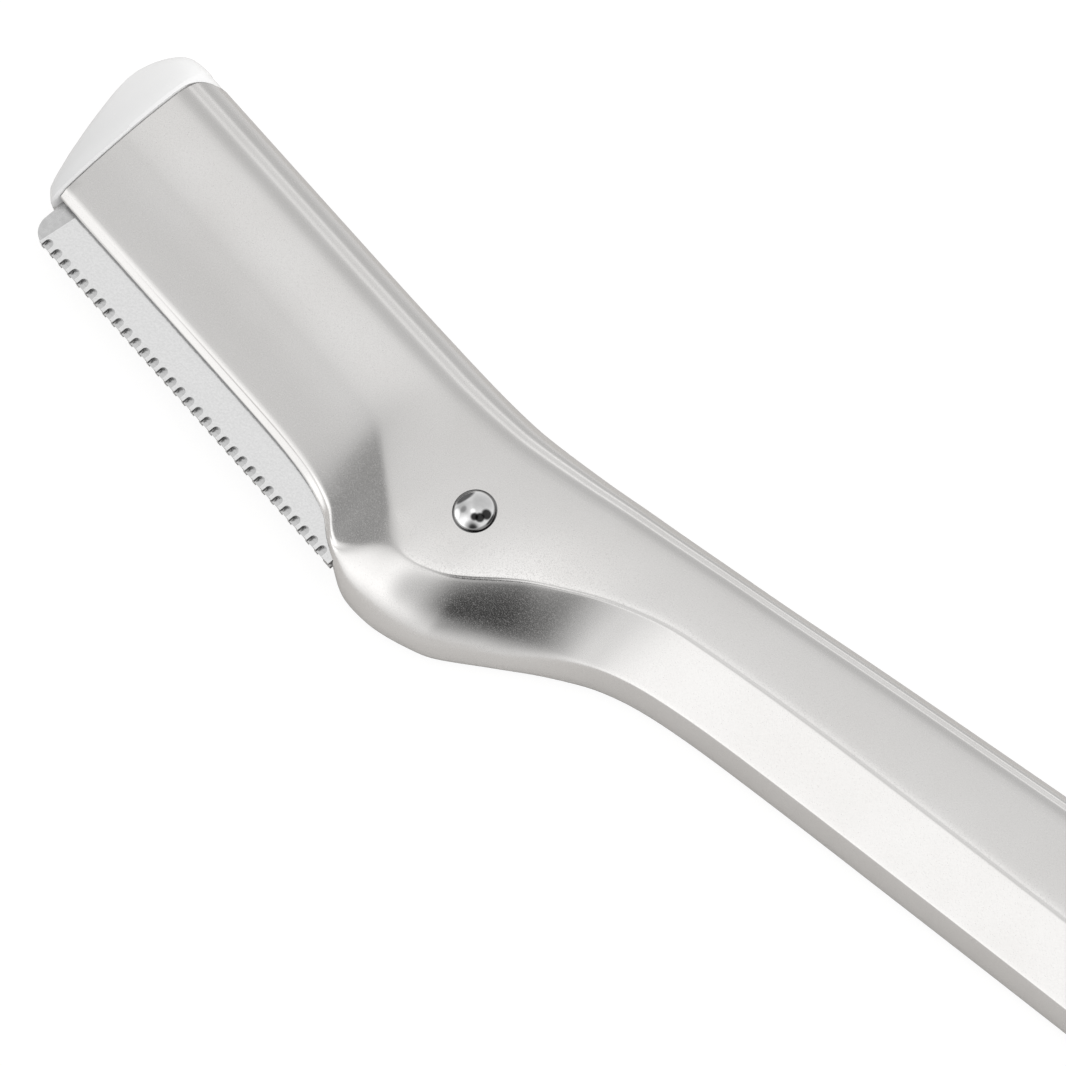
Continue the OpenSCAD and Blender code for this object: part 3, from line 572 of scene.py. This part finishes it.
# The seat of the detent spring, from the slot to round the rivet
spring_half_w, spring_r, spring_turn, spring_top = 1.45, 2.13, 43, 1.25
slot_lap, cover_lap = 1, 0.1
spring_x = -slot_end - slot_lap
carve(body, prism("spring_seat", [(spring_x, spring_half_w), (spring_x, -spring_half_w)]
                  + arc(0, 0, spring_r, -spring_turn, spring_turn, 12),
                  cover_t - cover_lap, spring_top))
bore_r, seat_r, seat_d = 0.98, 1.43, 0.25
carve(body, prism("bore", circle(bore_r, 24), past_back, past_face))
carve(body, prism("rivet_seat", circle(seat_r, 72), body_t - seat_d, past_face))
carve(body, prism("past_end", past_end(0), past_back, past_face))


def shade_smooth(piece, angle):
    """Shades a piece smooth, but for edges sharper than an angle in degrees."""
    bpy.context.view_layer.objects.active = piece
    piece.select_set(True)
    bpy.ops.object.shade_smooth_by_angle(angle=math.radians(angle))
    bpy.ops.object.select_all(action="DESELECT")


shade_smooth(body, 35)


def skin(wire, color, roughness, bump, metallic=1.0):
    """Gives a material its surface."""
    shader = wire.add("BsdfPrincipled", values={
        "Base Color": color, "Metallic": metallic, "Roughness": roughness, "Normal": bump})
    wire.add("OutputMaterial", values={"Surface": shader})


nickel, metal = new_material("satin_nickel")
place = metal.place()
grain = place.noise(13000, 1, 0.6)
cloud = place.noise(180, 3)
plating = cloud.smooth(0.2, 0.8).mix(grey(0.77, 0.018), grey(0.8, 0.014))
# Painted shade: dark in the narrow groove of the rivet's seat, where shade falls
groove_shade = place.scaled(1, 1, 0).length().smooth((seat_r + 0.025) * mm, (seat_r - 0.01) * mm)
# Painted shade: also dark on the underside of the lip, which lies higher than the cover, where
# shade falls
inside = place.part("Z").smooth((cover_t + 0.15) * mm, (cover_t + 0.25) * mm)
lip_underside_shade = metal.facing().part("Z").smooth(-0.4, -0.7) * inside
plating_and_painted_shade = lip_underside_shade.mix(groove_shade.mix(plating, grey(0.25)), grey(0.4))
skin(metal, plating_and_painted_shade, 0.17 + 0.12 * grain.smooth(0.4, 0.75), grain.bump(0.05, 0.01 * mm))
body.data.materials.append(nickel)
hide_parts("handle_body")
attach(body, "handle")


# Back cover: a plate stamped from strip, plated like the body and set flush in its back. The
# rivet and its washer hold it.
plate, strip = new_material("stamped_nickel")
lines = strip.place().scaled(300, 9000, 9000).noise(1, 3)
skin(strip, lines.smooth(0.3, 0.7).mix(grey(0.74, 0.01), grey(0.8, 0.01)),
     0.28 + 0.1 * lines, lines.bump(0.3, 0.005 * mm))


def dress(node, material):
    """Gives a piece from the model its finish."""
    for slot in bpy.data.objects[node].material_slots:
        slot.material = material


dress("head_back_cover", plate)


# Rivet: a polished steel pin, headed to a low dome in a round seat of the face and peened over
# a washer at the back. Turned round its axis from one profile.
_, rivet_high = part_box("rivet")
shank_r, dome_r, peen_r, peen_t = 0.95, 1.33, 1.35, 0.25
dome_top = rivet_high.z / mm
dome_foot, rim_h, rim_top_share = body_t - seat_d, 0.12, 0.94
peen_edge, rim_edge = 0.05, 0.03


def turned(name, profile, steps):
    """Spins an open profile of points (radius, height), in millimetres, round the Z axis."""
    bpy.ops.mesh.primitive_circle_add(vertices=len(profile))
    piece = bpy.context.object
    piece.name = name
    for vertex, (radius, height) in zip(piece.data.vertices, profile):
        vertex.co = (radius * mm, 0, height * mm)
    bpy.ops.object.mode_set(mode="EDIT")
    bpy.ops.mesh.select_all(action="DESELECT")
    bpy.ops.object.mode_set(mode="OBJECT")
    for vertex in piece.data.vertices:
        vertex.select = abs(vertex.co.x) < weld
    bpy.ops.object.mode_set(mode="EDIT")
    bpy.ops.mesh.select_mode(type="EDGE")
    bpy.ops.mesh.delete(type="EDGE")
    bpy.ops.mesh.select_mode(type="VERT")
    bpy.ops.mesh.select_all(action="SELECT")
    bpy.ops.mesh.spin(steps=steps, angle=math.tau, center=(0, 0, 0), axis=(0, 0, 1))
    bpy.ops.mesh.select_all(action="SELECT")
    bpy.ops.mesh.remove_doubles(threshold=weld)
    bpy.ops.mesh.normals_make_consistent(inside=False)
    bpy.ops.object.mode_set(mode="OBJECT")
    bpy.ops.object.select_all(action="DESELECT")
    return piece


dome_rise = dome_top - body_t - rim_h
dome_ball = (dome_r ** 2 + dome_rise ** 2) / (2 * dome_rise)
dome_steps = 16
dome = []
for i in range(dome_steps + 1):
    r = dome_r * rim_top_share * (1 - i / dome_steps)
    dome.append((r, dome_top - dome_ball + math.sqrt(dome_ball ** 2 - r ** 2)))
rivet = turned("rivet_turned", [
    (0, 0), (peen_r - peen_edge, 0), (peen_r, peen_edge), (peen_r, peen_t), (shank_r, peen_t),
    (shank_r, dome_foot), (dome_r, dome_foot), (dome_r, body_t + rim_h - rim_edge)] + dome, 96)
shade_smooth(rivet, 40)
polish, steel = new_material("polished_steel")
place = steel.place()
wear = place.noise(2500, 3)
# Painted dark reflection: the foot of the dome is painted dark, in a ring that is wider along the
# handle
painted_rim_reflection = place.scaled(1.03, 1, 0).length().smooth((dome_r - 0.11) * mm, (dome_r - 0.01) * mm)
skin(steel, painted_rim_reflection.mix(wear.smooth(0.35, 0.7).mix(grey(0.84), grey(0.9)), grey(0.33)),
     0.05 + 0.08 * wear.smooth(0.5, 0.75), wear.bump(0.15, 0.01 * mm))
rivet.data.materials.append(polish)
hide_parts("rivet")
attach(rivet, "handle")


# Burr washer and detent spring: a punched ring under the rivet's tail, and a thin tempered leaf
# clamped by the rivet, whose dimple clicks into the blade unit's tail.
temper, leaf = new_material("spring_steel")
place = leaf.place()
lines = place.scaled(250, 7000, 7000).noise(1, 4)
tint = place.noise(350, 2)
skin(leaf, tint.smooth(0.3, 0.7).mix((0.52, 0.53, 0.55, 1), (0.62, 0.62, 0.63, 1)),
     0.25 + 0.15 * lines, lines.bump(0.35, 0.006 * mm))
dress("rivet_washer", temper)
dress("detent_spring", temper)


# Blade carrier: one white plastic moulding. Its domed cap closes the head's tip end, and a
# stepped tongue runs in the slot with three posts that are staked through blade and guards.
blade_low, blade_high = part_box("blade")
_, guard_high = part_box("front_guard")
rear_low, rear_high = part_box("rear_guard")
slide_gap, cap_l, cap_h, cap_base = 0.15, 3.8, 5.6, 0.15
# The cap ring by ring: share of its length out from the head's end, and its two sides as
# shares of half the head's width
cap_side_shares = [(0, -1.106, 1.03), (0.06, -1.1, 1.034), (0.12, -1.08, 1.036),
                   (0.18, -1.05, 1.036), (0.25, -1.02, 1.034), (0.34, -0.92, 1.03),
                   (0.43, -0.79, 1.022), (0.52, -0.66, 1.01), (0.62, -0.49, 0.98),
                   (0.73, -0.3, 0.92), (0.83, -0.11, 0.835), (0.91, 0.05, 0.745),
                   (0.965, 0.18, 0.65), (1, 0.32, 0.54)]
# The cap's top beside the head's end follows the head's face: shares of half the head's width
# and of the cap's height
cap_top_shares = [(-1.1, 0.765), (-0.9, 0.785), (-0.14, 0.912), (0.35, 0.97), (0.7, 1), (1.1, 1)]
cap_top_line = [(s * half_w, z * cap_h) for s, z in cap_top_shares]
cap_rim, cap_seam = 0.25, 0.1
cap_points = 64
# Its height falls towards the tip, and its rings are near to squares
cap_fall, cap_fall_power, cap_square = 0.7, 1.3, 0.45


def power(value, exponent):
    """A power that keeps the sign, which fills a circle out towards a square."""
    return math.copysign(abs(value) ** exponent, value)


def cap_ring(share, inset=0, out=0):
    """One ring of the cap, drawn in by an inset and moved out from the head, both in
    millimetres."""
    low = curve_at([(s, a) for s, a, _ in cap_side_shares], share) * half_w + inset * 2
    high = curve_at([(s, b) for s, _, b in cap_side_shares], share) * half_w - inset
    middle = cap_base + (lip_h - slide_gap - cap_base) * (0.5 - 0.06 * share)
    fall = 1 - cap_fall * share ** cap_fall_power
    ring = []
    for i in range(cap_points):
        angle = -math.tau * i / cap_points
        across, up = power(math.cos(angle), cap_square), power(math.sin(angle), cap_square)
        y = (low + high) / 2 + (high - low) / 2 * across
        top = curve_at(cap_top_line, y) - inset
        z = middle + (up * (top - middle) * fall if up > 0
                      else up * (middle - cap_base - inset) * math.sqrt(fall))
        ring.append(Vector((end_x(y) - cap_seam - share * cap_l - out, y, z)) * mm)
    return ring


cap_shares = [0.07, 0.14, 0.2, 0.26, 0.32, 0.38, 0.44, 0.5, 0.56, 0.62, 0.68, 0.74, 0.8,
              0.86, 0.91, 0.95, 0.98, 1]
# The rounded rim at the seam: how far its rings are drawn in and moved out, as shares
cap_rim_shares = [(1.5, 0), (1, 0), (0.62, 0.08), (0.3, 0.3), (0.08, 0.62)]
cap = loft("blade_carrier_moulding",
           [cap_ring(0, cap_rim * inset, cap_rim * out) for inset, out in cap_rim_shares]
           + [cap_ring(s) for s in cap_shares])
# The horn runs on from the cap round the head's corner at the spine
horn_l, horn_root = 3, 0.3
horn = loft("horn", [[p + Vector((dx, 0, 0)) * mm for p in cap_ring(0, cap_rim * 0.1)]
                     for dx in (-horn_root, horn_l)])
carve(horn, prism("past_end", past_end(slide_gap, 0), past_back, past_face), "INTERSECT")
carve(cap, horn, "UNION")

# The tongue, with a step for each plate that lies on it, a skim apart
tongue_low, tongue_top = cover_t + slide_gap, guard_high.z / mm
tongue_tip, tongue_end = -head_l - 2 * slide_gap, -slot_end - slide_gap
rear_y, blade_y = rear_high.y / mm + fit_gap, blade_high.y / mm + fit_gap
spine_y = half_w - spine_wall - slide_gap
tail_r, skim = 2, 0.005
tongue = prism("tongue", [(tongue_tip, blade_y), (tongue_end, blade_y)]
               + arc(tongue_end - tail_r, spine_y - tail_r, tail_r, 0, 90, 12)
               + [(tongue_tip, spine_y)], tongue_low, tongue_top)
for low, high, top in ((rear_y, blade_y + fit_gap, blade_low.z / mm - skim),
                       (-half_w + lip_bevel, rear_y + fit_gap, rear_low.z / mm - skim)):
    carve(tongue, prism("step", [(tongue_tip, low), (tongue_end, low), (tongue_end, high),
                                 (tongue_tip, high)], tongue_low, top), "UNION")
# The channel for the detent spring, and the hollow across it that the dimple clicks into
channel_l, channel_half_w, channel_top = 12.65, 1.65, 1.77
hollow_x, hollow_h, hollow_r = -11.1, 1.51, 0.55
carve(tongue, prism("channel", [(-channel_l, -channel_half_w), (0, -channel_half_w),
                                (0, channel_half_w), (-channel_l, channel_half_w)],
                    0, channel_top))
bpy.ops.mesh.primitive_cylinder_add(vertices=32, radius=hollow_r * mm,
                                    depth=2 * channel_half_w * mm,
                                    location=(hollow_x * mm, 0, hollow_h * mm),
                                    rotation=(math.pi / 2, 0, 0))
hollow = bpy.context.object
bpy.ops.object.transform_apply(location=True, rotation=True, scale=True)
bpy.ops.object.select_all(action="DESELECT")
carve(tongue, hollow)
carve(cap, tongue, "UNION")
# The posts: shares of the blade's length, a shank, and a staked head over the front guard
post_r, stake_r, post_root, stake_edge = 0.75, 1.1, 0.3, 0.12
post_foot, stake_foot, stake_top = tongue_low + post_root, blade_high.z / mm + skim, tongue_top
post_y = blade_high.y / mm - stake_r * 1.2
for share in (0.14, 0.5, 0.86):
    post_x = (blade_low.x + share * (blade_high.x - blade_low.x)) / mm
    post = turned("post", [
        (0, post_foot), (post_r, post_foot), (post_r, stake_foot), (stake_r, stake_foot),
        (stake_r, stake_top - stake_edge), (stake_r - stake_edge, stake_top), (0, stake_top)], 32)
    bpy.context.view_layer.objects.active = post
    post.select_set(True)
    post.location = (post_x * mm, post_y * mm, 0)
    bpy.ops.object.transform_apply(location=True, rotation=True, scale=True)
    bpy.ops.object.select_all(action="DESELECT")
    carve(cap, post, "UNION")
shade_smooth(cap, 35)

plastic, resin = new_material("white_plastic")
place = resin.place()
grain = place.noise(5000, 2)
flow = place.noise(160, 2)
# Painted light: the plastic is painted paler towards the spine, the side the light comes from, and
# paler as edge light where it turns over to its thin rims
painted_rim_light = resin.facing().part("Z").smooth(0.8, 0.3)
painted_light = 1 - (1 - place.part("Y").smooth(-6.5 * mm, 5 * mm)) * (1 - painted_rim_light)
skin(resin, painted_light.mix(flow.smooth(0.3, 0.7).mix(grey(0.82, -0.004), grey(0.85)), grey(1)),
     0.2 + 0.1 * grain, grain.bump(0.12, 0.01 * mm), metallic=0.0)
cap.data.materials.append(plastic)
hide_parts("blade_carrier")
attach(cap, "cartridge")


# Blade: a strip of stainless steel with a honed edge, bare at its round tip corner. Three holes
# take the carrier's posts.
hone_w, hone_soft = 0.28 * mm, 0.08 * mm
ground, honing = new_material("blade_steel")
place = honing.place()
mottle = place.noise(2600, 3)
honed = place.part("Y").smooth(blade_low.y + hone_w + hone_soft, blade_low.y + hone_w)
skin(honing, honed.mix(mottle.smooth(0.3, 0.7).mix(grey(0.66), grey(0.74)), grey(0.56)),
     0.2 + 0.12 * mottle, mottle.bump(0.3, 0.01 * mm))
dress("blade", ground)


# Comb guards: two thin plates with a row of round-ended notches, one on each face of the blade,
# pressed from matt steel strip and held by the carrier's posts.
matt, comb = new_material("guard_steel")
grain = comb.place().noise(7000, 2)
# Painted shade: the cut walls of the notches are painted a little darker than the faces, for the
# shade in the notches
upright = comb.add("VectorMath", {"operation": "ABSOLUTE"}, {0: comb.facing()})
flat = upright.part("Z").smooth(0.3, 0.8)
skin(comb, flat.mix(grey(0.75), grain.smooth(0.3, 0.7).mix(grey(0.93), grey(0.98))),
     0.14 + 0.06 * grain, grain.bump(0.25, 0.01 * mm))
dress("front_guard", matt)
dress("rear_guard", matt)
